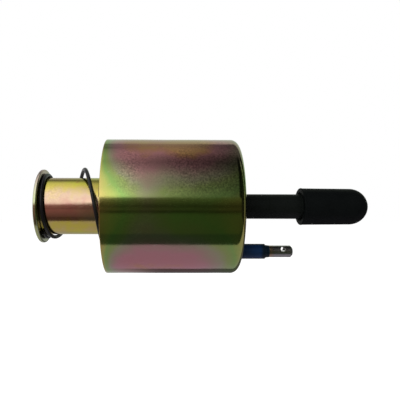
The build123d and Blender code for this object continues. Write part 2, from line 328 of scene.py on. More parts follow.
film, given, result = new_group(
    "chromate film",
    {"Position": (VECTOR, None), "Middle": (VALUE, 0.0), "Reach": (VALUE, 0.02), "Start": (VALUE, 0.4),
     "Turn": (VALUE, 0.3), "Lean": (VALUE, 0.1), "Near end": (VALUE, 0.0), "Far end": (VALUE, 0.0),
     "Far rise": (VALUE, 0.0), "Band": (VALUE, 0.0), "Thickest": (VALUE, 2.0), "Clouds": (VALUE, 0.3),
     "Speckle": (VALUE, 0.3), "Zinc": (VALUE, 0.0)},
    {"Colour": COLOUR},
)

# Round the part the film is thick and thin three times
place = put(film, "ShaderNodeSeparateXYZ", {0: given["Position"]}).outputs
angle = maths(film, "ARCTAN2", place["Z"], maths(film, "MULTIPLY", place["Y"], -1.0))
thrice_round = maths(film, "COSINE", maths(film, "MULTIPLY", angle, 3.0))
turn_part = maths(film, "MULTIPLY_ADD", thrice_round, -0.5, 0.5)

# It thins towards both ends, and at the far end most underneath
off_middle = maths(film, "DIVIDE", maths(film, "SUBTRACT", place["X"], given["Middle"]), given["Reach"])
far = maths(film, "GREATER_THAN", off_middle, 0.0)
narrowing = maths(film, "MULTIPLY", turn_part, maths(film, "SUBTRACT", 1.0, far))
least_narrow = maths(film, "SUBTRACT", end_narrowness, far)
narrowing = maths(film, "MULTIPLY_ADD", narrowing, near_end_narrowing, least_narrow)
towards_end = maths(film, "MINIMUM", maths(film, "ABSOLUTE", off_middle), 1.0)
end_part = maths(film, "POWER", towards_end, narrowing)
upward = maths(film, "SINE", angle)
far_thinning = maths(film, "MULTIPLY_ADD", upward, far_thinning_upward, far_thinning_level)
far_thinning = maths(film, "MULTIPLY", far_thinning, given["Far end"])
thinning = mixed(film, far, given["Near end"], far_thinning)
turn_part = maths(film, "MULTIPLY", turn_part, maths(film, "SUBTRACT", 1.0, end_part))

# Both are added up with the clouds, and with a rise on the upper side past the middle
small_clouds = noise(film, given["Position"], small_cloud_scale, 2.0)
small_clouds = maths(film, "MULTIPLY_ADD", small_clouds, small_cloud_share, -clouds_middle)
clouds = maths(film, "ADD", noise(film, given["Position"], cloud_scale, 3.0), small_clouds)
thickness = maths(film, "MULTIPLY_ADD", turn_part, given["Turn"], given["Start"])
thickness = maths(film, "MULTIPLY_ADD", upward, given["Lean"], thickness)
far_rise = maths(film, "MULTIPLY", span(film, off_middle, -0.35, 0.25), given["Far rise"])
thickness = maths(film, "MULTIPLY_ADD", maths(film, "MAXIMUM", upward, 0.0), far_rise, thickness)
thickness = maths(film, "SUBTRACT", thickness, maths(film, "MULTIPLY", end_part, thinning))
thickness = maths(film, "MULTIPLY_ADD", clouds, given["Clouds"], thickness)

# A band before the middle is thicker where the film is thin round the part
from_band = maths(film, "ABSOLUTE", maths(film, "ADD", off_middle, band_width))
band = span(film, from_band, 0.0, band_width, 1.0, 0.0)
band = maths(film, "MULTIPLY", band, maths(film, "SUBTRACT", 1.0, turn_part))
thickness = maths(film, "MULTIPLY_ADD", band, given["Band"], thickness)
thickness = maths(film, "MINIMUM", thickness, given["Thickest"])

# The thickness gives the tint, paled by a share of zinc and speckled by patches of fine grains
thickest = film_tints[-1][0]
tint_stops = [(at / thickest, colour) for at, colour in film_tints]
tint = ramp(film, maths(film, "DIVIDE", thickness, thickest), tint_stops)
tint = mixed(film, given["Zinc"], tint, film_zinc)
grains = maths(film, "SUBTRACT", noise(film, given["Position"], speckle_scale, 2.0, 0.6), 0.5)
patches = span(film, noise(film, given["Position"], speckled_patch_scale, 2.0), 0.35, 0.6)
patches = maths(film, "MULTIPLY", patches, span(film, upward, 0.05, 0.3, 0.25, 1.0))
patches = maths(film, "MULTIPLY", patches, span(film, off_middle, -0.90, -0.60))
grains = maths(film, "MULTIPLY", maths(film, "MULTIPLY", grains, patches), given["Speckle"])
tint = mixed(film, 1.0, tint, maths(film, "ADD", grains, 1.0), how="MULTIPLY")
film.links.new(tint, result["Colour"])

# Fine lines that a lathe tool or a draw die leaves round a piece, told apart by their place along it
tool_marks, given, result = new_group(
    "tool marks",
    {"Along": (VALUE, None), "Pitch": (VALUE, 0.0002)},
    {"Height": VALUE},
)
steps_along = maths(tool_marks, "DIVIDE", given["Along"], given["Pitch"])
lines = noise(tool_marks, steps_along, 1.0, 3.0, 0.7, "1D")
tool_marks.links.new(lines, result["Height"])

# Edges rubbed by handling, and on the sleeve a painted edge highlight: a mask that is strong where a
# small bevel would turn the surface
least_turned = 0.01
fully_turned = 0.12
rubbed_patch_scale = 900.0
rubbed, given, result = new_group(
    "rubbed edges",
    {"Position": (VECTOR, None), "Width": (VALUE, 0.0003), "Amount": (VALUE, 1.0)},
    {"Mask": VALUE},
)
bevelled = put(rubbed, "ShaderNodeBevel", {"Radius": given["Width"]}, samples=6).outputs[0]
straight = put(rubbed, "ShaderNodeNewGeometry").outputs["Normal"]
match = put(rubbed, "ShaderNodeVectorMath", {0: bevelled, 1: straight}, operation="DOT_PRODUCT")
edge = span(rubbed, maths(rubbed, "SUBTRACT", 1.0, match.outputs["Value"]), least_turned, fully_turned)
broken = span(rubbed, noise(rubbed, given["Position"], rubbed_patch_scale, 4.0, 0.7), 0.35, 0.6)
edge = maths(rubbed, "MULTIPLY", edge, maths(rubbed, "MULTIPLY_ADD", broken, 0.7, 0.3))
rubbed.links.new(maths(rubbed, "MULTIPLY", edge, given["Amount"], clamp=True), result["Mask"])

# Hairline scratches: a noise stretched by these factors along each axis, so that its marks are thin
scratch_stretch = (120.0, 900.0, 2600.0)
scratched_patch_scale = 130.0
scratches, given, result = new_group(
    "hairline scratches",
    {"Position": (VECTOR, None), "Lean": (VALUE, 0.5), "Amount": (VALUE, 1.0)},
    {"Mask": VALUE},
)
inputs = {"Vector": given["Position"], "Angle": given["Lean"]}
leaning = put(scratches, "ShaderNodeVectorRotate", inputs, rotation_type="Y_AXIS").outputs[0]
inputs = {0: leaning, 1: scratch_stretch}
stretched = put(scratches, "ShaderNodeVectorMath", inputs, operation="MULTIPLY").outputs[0]
thin = span(scratches, noise(scratches, stretched, 1.0, 1.0), 0.70, 0.74)
patchy = span(scratches, noise(scratches, given["Position"], scratched_patch_scale, 2.0), 0.5, 0.62)
mask = maths(scratches, "MULTIPLY", maths(scratches, "MULTIPLY", thin, patchy), given["Amount"])
scratches.links.new(mask, result["Mask"])

# Faint finger marks and dried oil, which dull a polished surface in soft patches
smudges, given, result = new_group(
    "smudges",
    {"Position": (VECTOR, None), "Size": (VALUE, 0.008), "Amount": (VALUE, 0.1)},
    {"Roughness": VALUE},
)
patches = noise(smudges, given["Position"], maths(smudges, "DIVIDE", 1.0, given["Size"]), 4.0, 0.6)
patches = maths(smudges, "MULTIPLY", maths(smudges, "SUBTRACT", patches, 0.5), given["Amount"])
smudges.links.new(patches, result["Roughness"])


def dulled(tree, shader, position, roughness, patch_size, patch_amount):
    """Gives a surface its roughness, uneven in soft patches."""
    dull = use(tree, smudges, position=position, size=patch_size, amount=patch_amount)["Roughness"]
    tree.links.new(maths(tree, "ADD", dull, roughness, clamp=True), shader.inputs["Roughness"])


bare_zinc = (0.52, 0.52, 0.50, 1)
zinc_edge_width = 0.00025
zinc_pit_scale = 1900.0
zinc_pit_depth = 0.0000035


def chromate(name, marks_along, marks_pitch, marks_depth, roughness, **film_values):
    """Yellow chromated zinc on turned or drawn steel; marks_along is x or radius."""
    material, tree, shader, position = new_material(name)
    tint = use(tree, film, position=position, **film_values)["Colour"]
    edge_wear_and_highlight = use(tree, rubbed, position=position, width=zinc_edge_width, amount=0.8)["Mask"]
    scratched = use(tree, scratches, position=position, lean=0.6, amount=0.25)["Mask"]
    bare = maths(tree, "MAXIMUM", edge_wear_and_highlight, scratched)
    tree.links.new(mixed(tree, bare, tint, bare_zinc), shader.inputs["Base Color"])
    shader.inputs["Metallic"].default_value = 1.0
    dulled(tree, shader, position, roughness, 0.009, 0.18)
    place = put(tree, "ShaderNodeSeparateXYZ", {0: position}).outputs
    along = place["X"]
    if marks_along == "radius":
        from_axis = put(tree, "ShaderNodeCombineXYZ", {0: place["Y"], 1: place["Z"]}).outputs[0]
        along = put(tree, "ShaderNodeVectorMath", {0: from_axis}, operation="LENGTH").outputs["Value"]
    lines = use(tree, tool_marks, along=along, pitch=marks_pitch)["Height"]
    marked = relief(tree, shader, lines, marks_depth)
    relief(tree, shader, noise(tree, position, zinc_pit_scale, 3.0, 0.65), zinc_pit_depth, under=marked)
    return material


can_metal = chromate("can_chromate", "x", 0.0011, 0.0000012, 0.12, middle=0.002,
                     reach=0.002 - can_low.x, start=0.27, turn=0.64, lean=0.05, near_end=0.29,
                     far_end=0.50, far_rise=0.14, band=0.20, thickest=0.95, clouds=0.20, speckle=2.2)
can.data.materials.clear()
can.data.materials.append(can_metal)
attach(can, "housing")
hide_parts("can_shell")

# Front plate
# A steel flux plate pressed into the can's mouth and held by the spun rim. It is faced on a lathe,
# so its tool marks run in rings round the plunger's bore, and it has the can's chromate film.
plate_metal = chromate("plate_chromate", "radius", 0.0004, 0.0000030, 0.22, middle=-0.0226, reach=0.02,
                       start=0.18, turn=0.20, clouds=0.30, zinc=0.1)


def dress(material, *names):
    """Gives CAD nodes a material."""
    for name in names:
        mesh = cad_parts[name].data
        mesh.materials.clear()
        mesh.materials.append(material)


dress(plate_metal, "front_plate")

# Guide tube and stop washer
# Drawn brass tube in which the plunger's head runs, and the thin brass washer in the pole piece that
# stops the plunger's nose sticking. Both are dull yellow metal with fine lines round them.


def soft_metal(name, colour, roughness, marks_pitch, marks_depth):
    """Plain uncoated metal with a little tarnish and fine lines round it."""
    material, tree, shader, position = new_material(name)
    tarnish = span(tree, noise(tree, position, 240.0, 4.0, 0.6), 0.35, 0.75)
    darker = tuple(part * 0.6 for part in colour)
    tree.links.new(mixed(tree, tarnish, (*colour, 1), (*darker, 1)), shader.inputs["Base Color"])
    shader.inputs["Metallic"].default_value = 1.0
    dulled(tree, shader, position, roughness, 0.004, 0.3)
    lines = use(tree, tool_marks, along=x_of(tree, position), pitch=marks_pitch)["Height"]
    relief(tree, shader, lines, marks_depth)
    return material


drawn_brass = soft_metal("drawn_brass", (0.62, 0.45, 0.18), 0.30, 0.0003, 0.000002)
dress(drawn_brass, "guide_tube", "stop_washer")

# Pole piece
# The fixed steel core. Its spigot goes through the can's closed end and is riveted over by a ring
# punch, which leaves a narrow round groove in the plated face.
pole_metal = chromate("pole_chromate", "radius", 0.0003, 0.0000030, 0.24, middle=0.0166, reach=0.02,
                      start=0.30, turn=0.25, clouds=0.35)
dress(pole_metal, "pole_piece")

# Rod bush
# Sintered bronze bush, brown, porous and filled with oil. It is pressed into the pole piece's bore,
# and the push rod slides in it.
dress(soft_metal("sintered_bronze", (0.42, 0.27, 0.13), 0.48, 0.00008, 0.000004), "rod_bush")

# Bobbin
# Natural nylon spool, moulded in one piece, that keeps the winding off the guide tube and the can.
# The small bush round the lead, pushed into the can's closed end, is of the same nylon.


def moulded(name, colour, roughness, mottle=0.12, grain_size=0.0004, grain_depth=0.000006, sheen=0.5):
    """Moulded plastic or rubber: one colour, slightly mottled, with a fine even grain."""
    material, tree, shader, position = new_material(name)
    cloudy = noise(tree, position, 160.0, 3.0, 0.6)
    lighter = tuple(min(1, part * (1 + mottle)) for part in colour)
    darker = tuple(part * (1 - mottle) for part in colour)
    tree.links.new(mixed(tree, cloudy, (*darker, 1), (*lighter, 1)), shader.inputs["Base Color"])
    shader.inputs["Specular IOR Level"].default_value = sheen
    dulled(tree, shader, position, roughness, 0.005, 0.25)
    relief(tree, shader, noise(tree, position, 1 / grain_size, 3.0, 0.6), grain_depth)
    return material, tree, shader, position


dress(moulded("natural_nylon", (0.72, 0.69, 0.58), 0.42)[0], "bobbin", "lead_bush")

# Coil winding
# Enamelled copper wire, wound on the bobbin in several layers side by side, so that its outside
# shows close ridges.
wire_pitch = 0.00045


def wound_copper():
    """Enamelled copper with the ridges of wire laid side by side, and painted shade in the grooves
    between them.
    """
    material, tree, shader, position = new_material("wound_copper")
    wave = maths(tree, "SINE", maths(tree, "MULTIPLY", x_of(tree, position), math.pi / wire_pitch))
    ridge = maths(tree, "ABSOLUTE", wave)
    grooves = maths(tree, "SUBTRACT", 1.0, ridge)
    enamel = mixed(tree, noise(tree, position, 300.0), (0.42, 0.14, 0.05, 1), (0.55, 0.22, 0.08, 1))
    # Painted shade in the grooves between the wires
    shade = mixed(tree, maths(tree, "POWER", grooves, 3.0), enamel, (0.10, 0.03, 0.01, 1))
    tree.links.new(shade, shader.inputs["Base Color"])
    shader.inputs["Metallic"].default_value = 0.9
    dulled(tree, shader, position, 0.3, 0.003, 0.2)
    relief(tree, shader, ridge, wire_pitch / 2)
    return material


copper = wound_copper()
dress(copper, "coil_winding")

# Coil wrap
# Yellow polyester tape, wound over the copper in overlapping turns, which holds and insulates it.
# Each turn's edge shows as a small step.
tape_width = 0.006
tape_thickness = 0.00005


def wound_tape():
    """Glossy yellow tape whose turns overlap, each edge a small step with a darker line."""
    material, tree, shader, position = new_material("wound_tape")
    place = put(tree, "ShaderNodeSeparateXYZ", {0: position}).outputs
    turn = maths(tree, "DIVIDE", maths(tree, "ARCTAN2", place["Z"], place["Y"]), 2 * math.pi)
    spiral = maths(tree, "ADD", maths(tree, "DIVIDE", place["X"], tape_width), turn)
    step = maths(tree, "FRACT", spiral)
    edge = span(tree, step, 0.0, 0.05, 1.0, 0.0)
    body = mixed(tree, noise(tree, position, 220.0), (0.60, 0.42, 0.06, 1), (0.72, 0.52, 0.10, 1))
    tree.links.new(mixed(tree, edge, body, (0.34, 0.22, 0.03, 1)), shader.inputs["Base Color"])
    dulled(tree, shader, position, 0.28, 0.006, 0.2)
    relief(tree, shader, step, tape_thickness)
    return material


dress(wound_tape(), "coil_wrap")

# Insulating washers
# Vulcanised fibre, punched from sheet: brick red, dry and fibrous. One lies at each end of the
# bobbin, between it and the steel.
red_fibre = moulded("red_fibre", (0.20, 0.055, 0.035), 0.62, mottle=0.3, grain_size=0.0003,
                    grain_depth=0.00001)[0]
dress(red_fibre, "front_insulator", "rear_insulator")

# Spring washer
# A dished washer, punched from spring steel, hardened and blued. It sits behind the front plate and
# keeps the coil tight.
dress(soft_metal("blued_steel", (0.16, 0.17, 0.20), 0.32, 0.0004, 0.000002), "spring_washer")

# Lead wire and earth lead
# The insulated lead runs from the winding through the can's end to the terminal. The bare tail of
# the winding is spot welded inside the can, which earths it.
dress(moulded("black_insulation", (0.022, 0.022, 0.024), 0.45)[0], "lead_wire")
dress(copper, "earth_lead")

# Terminal pin
# Brass strip rolled into a hollow round pin and tinned, with a chamfered nose, a cross hole and the
# rolled seam at the back. Its crimp barrel holds the lead inside the sleeve.
# Where the painted brass reflection on the pin fades out along it
tin_reflection_start = 0.0375
tin_reflection_end = 0.0395


def tinned():
    """Dull tin plate over brass, thin and yellowish at the edges, with a painted reflection of brass
    near the sleeve.
    """
    material, tree, shader, position = new_material("tin_plate")
    spots = noise(tree, position, 700.0, 4.0, 0.7)
    cloudy = mixed(tree, spots, (0.20, 0.20, 0.19, 1), (0.38, 0.37, 0.35, 1))
    # Painted reflection of brass: brownish tan next to the sleeve
    reflection_near_sleeve = span(tree, x_of(tree, position), tin_reflection_start, tin_reflection_end, 0.8, 0.0)
    cloudy = mixed(tree, reflection_near_sleeve, cloudy, (0.36, 0.24, 0.14, 1))
    edge_wear_and_highlight = use(tree, rubbed, position=position, width=0.00015, amount=0.8)["Mask"]
    tree.links.new(mixed(tree, edge_wear_and_highlight, cloudy, (0.60, 0.50, 0.30, 1)), shader.inputs["Base Color"])
    shader.inputs["Metallic"].default_value = 1.0
    dulled(tree, shader, position, 0.33, 0.002, 0.3)
    lines = use(tree, tool_marks, along=x_of(tree, position), pitch=0.00015)["Height"]
    relief(tree, shader, lines, 0.000002)
    return material


dress(tinned(), "terminal_pin")

# Terminal sleeve
# Dark blue nylon, moulded over the pin's crimp barrel, with a thinner nose that the pin comes out
# of. It is darker on the nose, painted shade darkens it next to the can, and a painted highlight makes
# its edges paler, the shoulder between most.
# The dark blue mixed in on the nose and as painted shade next to the can, and the paler blue of the
# painted edge highlight
sleeve_darkening = (0.0010, 0.0030, 0.0040, 1)
sleeve_edge_highlight = (0.016, 0.036, 0.055, 1)
sleeve_can_end = 0.0250
sleeve_unshaded_from = 0.0320
sleeve_nose_start = 0.0335
sleeve_nose_darkest_from = 0.0350
sleeve_nylon, tree, shader, position = moulded("blue_nylon", (0.0010, 0.0100, 0.0340), 0.36,
                                               mottle=0.2, sheen=0.15)
along = x_of(tree, position)
# Darker towards the nose's end, and painted shade next to the can, both mixed towards one dark blue
on_nose = span(tree, along, sleeve_nose_start, sleeve_nose_darkest_from, 0.0, 0.88)
painted_shade_near_can = span(tree, along, sleeve_can_end, sleeve_unshaded_from, 0.55, 0.0)
blue = shader.inputs["Base Color"].links[0].from_socket
blue = mixed(tree, maths(tree, "MAXIMUM", on_nose, painted_shade_near_can), blue, sleeve_darkening)
# Painted highlight: the sleeve's edges, the shoulder's rim most, are made paler blue
edge_wear_and_highlight = use(tree, rubbed, position=position, width=0.0003, amount=0.7)["Mask"]
tree.links.new(mixed(tree, edge_wear_and_highlight, blue, sleeve_edge_highlight), shader.inputs["Base Color"])
dress(sleeve_nylon, "terminal_sleeve")

# Plunger
# Turned steel with a chromate film that is thin and golden: a grooved neck, the barrel that shows,
# the wider captive head and the conical nose. The tool marks run round it.
plunger_metal = chromate("plunger_chromate", "x", 0.00012, 0.0000022, 0.17, middle=-0.036, reach=0.03,
                         start=1.25, turn=-0.18, lean=-0.04, clouds=0.34, speckle=0.5)
dress(plunger_metal, "plunger")

# Spring retainer
# A steel washer with a rounded rim, punched and plated like the plunger. It sits on the plunger's
# neck, and the spring's small end rests on it.
retainer_metal = chromate("retainer_chromate", "radius", 0.0003, 0.0000020, 0.20, middle=-0.0489,
                          reach=0.02, start=0.42, turn=0.10, clouds=0.25, zinc=0.22)
dress(retainer_metal, "spring_retainer")

# Retainer clip
# An external circlip, punched from spring steel and phosphated dark grey. It is snapped into the
# groove in the plunger's neck and holds the retainer on.
dress(soft_metal("phosphated_steel", (0.09, 0.09, 0.095), 0.42, 0.0002, 0.000002), "retainer_clip")

# Return spring
# Conical compression spring of round steel wire with a black oxide finish, closed at both ends. Where
# its line is pressed shorter, the wire keeps its thickness.
wire_radius = 0.0007
spring_pitch = 0.027
spring_seat_turn = 0.67
spring_end_turn = 0.75
spring_phase = 117.2
spring_opening_share = 0.51
spring_closing_share = 0.19
spring_flare_share = 0.36
spring_points_per_turn = 64
wire_sides = 24
spring_small_radius = 0.0118
spring_large_radius = 0.0164
spring_low, spring_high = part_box("return_spring")
spring_seat = spring_low.x + wire_radius
spring_far_seat = spring_high.x - wire_radius


def spring_line():
    """Points along the wire's middle, and how far each stays off the seat when pressed flat."""
    full_turns = (spring_far_seat - spring_seat) / spring_pitch
    opening_turns = 2 * full_turns * spring_opening_share
    closing_turns = 2 * full_turns * spring_closing_share
    held_turns = full_turns * (1 - spring_opening_share - spring_closing_share)
    open_turns = opening_turns + held_turns + closing_turns
    all_turns = spring_seat_turn + open_turns + spring_end_turn
    flare_start = open_turns * spring_flare_share
    count = round(all_turns * spring_points_per_turn)
    points = []
    least_rises = []
    for index in range(count + 1):
        turn = all_turns * index / count - spring_seat_turn
        opening = min(max(turn, 0), opening_turns)
        held = min(max(turn - opening_turns, 0), held_turns)
        closing = min(max(turn - opening_turns - held_turns, 0), closing_turns)
        rise = opening ** 2 / (2 * opening_turns) + held + closing - closing ** 2 / (2 * closing_turns)
        flare = min(max((turn - flare_start) / (open_turns - flare_start), 0), 1)
        radius = spring_small_radius + (spring_large_radius - spring_small_radius) * flare
        angle = math.radians(spring_phase + 360 * turn)
        x = spring_seat + spring_pitch * rise
        points.append((x, radius * math.cos(angle), radius * math.sin(angle)))
        least_rises.append(2 * wire_radius * min(max(turn / (1 - spring_seat_turn), 0) ** 2, 1))
    return points, least_rises


def black_oxide():
    """Black oxide on drawn wire: near black, a little oily, rubbed grey in places."""
    material, tree, shader, position = new_material("black_oxide")
    rubbed_grey = span(tree, noise(tree, position, 420.0, 4.0, 0.65), 0.56, 0.76)
    black = mixed(tree, rubbed_grey, (0.003, 0.003, 0.0035, 1), (0.014, 0.013, 0.012, 1))
    tree.links.new(black, shader.inputs["Base Color"])
    shader.inputs["Specular IOR Level"].default_value = 0.22
    dulled(tree, shader, position, 0.34, 0.003, 0.3)
    relief(tree, shader, noise(tree, position, 2500.0, 3.0, 0.6), 0.000006)
    return material


def round_wire(material):
    """Geometry nodes that hold each point its least rise off the seat, then thicken the line."""
    tree = bpy.data.node_groups.new("round wire", "GeometryNodeTree")
    tree.interface.new_socket("Geometry", in_out="INPUT", socket_type="NodeSocketGeometry")
    tree.interface.new_socket("Geometry", in_out="OUTPUT", socket_type="NodeSocketGeometry")
    source = tree.nodes.new("NodeGroupInput").outputs[0]
    position = tree.nodes.new("GeometryNodeInputPosition").outputs[0]
    place = put(tree, "ShaderNodeSeparateXYZ", {0: position}).outputs
    inputs = {"Geometry": source, "Value": place["X"], "Index": 0}
    seat = put(tree, "GeometryNodeSampleIndex", inputs).outputs[0]
    rise = put(tree, "GeometryNodeInputNamedAttribute", {"Name": "least_rise"}).outputs[0]
    held_x = maths(tree, "MAXIMUM", place["X"], maths(tree, "ADD", seat, rise))
    held = put(tree, "ShaderNodeCombineXYZ", {0: held_x, 1: place["Y"], 2: place["Z"]}).outputs[0]
    source = put(tree, "GeometryNodeSetPosition", {"Geometry": source, "Position": held}).outputs[0]
    line = put(tree, "GeometryNodeMeshToCurve", {0: source}).outputs[0]
    inputs = {"Resolution": wire_sides, "Radius": wire_radius}
    section = put(tree, "GeometryNodeCurvePrimitiveCircle", inputs).outputs[0]
    inputs = {"Curve": line, "Profile Curve": section, "Fill Caps": True}
    wire = put(tree, "GeometryNodeCurveToMesh", inputs).outputs[0]
    wire = put(tree, "GeometryNodeSetMaterial", {"Geometry": wire, "Material": material}).outputs[0]
    tree.links.new(wire, tree.nodes.new("NodeGroupOutput").inputs[0])
    return tree


spring_points, spring_least_rises = spring_line()
spring_mesh = bpy.data.meshes.new("spring_wire")
spring_mesh.from_pydata(spring_points, [(i, i + 1) for i in range(len(spring_points) - 1)], [])
spring_mesh.attributes.new("least_rise", "FLOAT", "POINT").data.foreach_set("value", spring_least_rises)
spring = new_piece("spring_wire", spring_mesh)
oxide = black_oxide()
spring_mesh.materials.append(oxide)
spring.modifiers.new("round wire", "NODES").node_group = round_wire(oxide)
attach(spring, "housing")
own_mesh(spring)
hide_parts("return_spring")

# Push rod
# Turned steel rod, screwed into the plunger's nose and running through the pole piece. It is
# chemically blackened and lightly oiled.


def blackened_rod():
    """Blackened turned steel: dark, satin, with fine lines round it and rubbed edges."""
    material, tree, shader, position = new_material("blackened_rod")
    edge_wear_and_highlight = use(tree, rubbed, position=position, width=0.0002, amount=0.6)["Mask"]
    spots = noise(tree, position, 300.0, 3.0)
    cloudy = mixed(tree, spots, (0.0018, 0.0024, 0.0020, 1), (0.0032, 0.0038, 0.0034, 1))
    tree.links.new(mixed(tree, edge_wear_and_highlight, cloudy, (0.10, 0.10, 0.10, 1)), shader.inputs["Base Color"])
    shader.inputs["Specular IOR Level"].default_value = 0.06
    dulled(tree, shader, position, 0.42, 0.005, 0.25)
    lines = use(tree, tool_marks, along=x_of(tree, position), pitch=0.0002)["Height"]
    relief(tree, shader, lines, 0.000004)
    return material


dress(blackened_rod(), "push_rod")

# Tip cap
# Moulded black rubber with a rounded lip and a domed tip. It is pushed over the rod's end, where a
# bead in its bore snaps into a groove.
black_rubber = moulded("black_rubber", (0.0016, 0.0020, 0.0020), 0.50, mottle=0.2, grain_size=0.0005,
                       grain_depth=0.00001, sheen=0.03)[0]
dress(black_rubber, "tip_cap")

# Studio
# A pale floor well under the part, white surroundings and two lamps. Glossy pieces also see a large
# graded softbox over the front, a dim room under it, a grey card below and dark cards at the ends.
floor_z = -0.12
floor_size = 6.0
cloth_radius = 0.45
card_z = floor_z + 0.002
card_step = 0.0005
card_reach = 0.9
side_card_top = 1.0
right_card_x = 0.35
left_card_x = -0.6
back_card_start = 0.072
far_card_start = 0.8
far_card_end = 2.6
eye_distance = 0.15
lamp_size = 0.5
room_light = 0.45
floor_white = 0.86
cloth_light = 4.2
cloth_full_x = -0.09
cloth_halving = 0.045
scrim_light = 0.42
scrim_start = 82
scrim_full = 112
scrim_top = 127.4
scrim_top_full = 128.4
scrim_top_colour = (0.57, 0.65, 0.54, 1)
window_start = -0.0285
window_end = -0.0250


def stage_sheet(name, first_edge, last_edge, material):
    """A sheet between two edges of points, which only mirrors and gloss can see."""
    mesh = bpy.data.meshes.new(name)
    corners = [corner for pair in zip(first_edge, last_edge) for corner in pair]
    faces = [(2 * i, 2 * i + 1, 2 * i + 3, 2 * i + 2) for i in range(len(first_edge) - 1)]
    mesh.from_pydata(corners, [], faces)
    mesh.materials.append(material)
    mesh.polygons.foreach_set("use_smooth", [True] * len(faces))
    sheet = new_piece(name, mesh)
    sheet.visible_camera = False
    sheet.visible_diffuse = False
    sheet.visible_shadow = False
    sheet.visible_transmission = False


def across(name, places, material, high_x=card_reach):
    """A stage sheet stretched along X through (y, z) places."""
    first_edge = [(-card_reach, y, z) for y, z in places]
    last_edge = [(high_x, y, z) for y, z in places]
    stage_sheet(name, first_edge, last_edge, material)


def background_rays(tree):
    """1 for the camera and for glossy and transmitted rays, 0 for the rest."""
    path = put(tree, "ShaderNodeLightPath").outputs
    seen = maths(tree, "MAXIMUM", path["Is Camera Ray"], path["Is Glossy Ray"])
    return maths(tree, "MAXIMUM", seen, path["Is Transmission Ray"])


def floor_paint():
    """Matt white, lifted to full white where nothing shades it."""
    material, tree, shader, position = new_material("floor_white")
    shader.inputs["Base Color"].default_value = (floor_white, floor_white, floor_white, 1)
    shader.inputs["Roughness"].default_value = 0.9
    shader.inputs["Specular IOR Level"].default_value = 0.0
    shader.inputs["Emission Color"].default_value = (1, 1, 1, 1)
    from_part = put(tree, "ShaderNodeVectorMath", {0: position}, operation="LENGTH").outputs["Value"]
    lift = maths(tree, "MULTIPLY", background_rays(tree), span(tree, from_part, 0.15, 1.0, 0.45, 0.66))
    tree.links.new(lift, shader.inputs["Emission Strength"])
    return material


def glowing(name):
    """An emission material with its node tree and emission node."""
    material = bpy.data.materials.new(name)
    material.use_nodes = True
    tree = material.node_tree
    tree.nodes.remove(tree.nodes["Principled BSDF"])
    glow = put(tree, "ShaderNodeEmission")
    tree.links.new(glow.outputs[0], tree.nodes["Material Output"].inputs["Surface"])
    return material, tree, glow


def card(name, strength):
    """Plain card that gives back an even light."""
    material, tree, glow = glowing(name)
    glow.inputs["Strength"].default_value = strength
    return material


def graded_card(name, low_x, high_x, low_light, high_light):
    """Card that gives back one colour of light at low X and another at high X."""
    material, tree, glow = glowing(name)
    along = x_of(tree, put(tree, "ShaderNodeTexCoord").outputs["Object"])
    light = mixed(tree, span(tree, along, low_x, high_x), (*low_light, 1), (*high_light, 1))
    tree.links.new(light, glow.inputs["Color"])
    return material


def strengths(tree, height, stops):
    """Half of a strength that changes with the height in degrees, from (height, strength) stops."""
    low = stops[0][0]
    high = stops[-1][0]
    share = maths(tree, "DIVIDE", maths(tree, "SUBTRACT", height, low), high - low)
    return ramp(tree, share, [((at - low) / (high - low), (level / 2,) * 3) for at, level in stops])


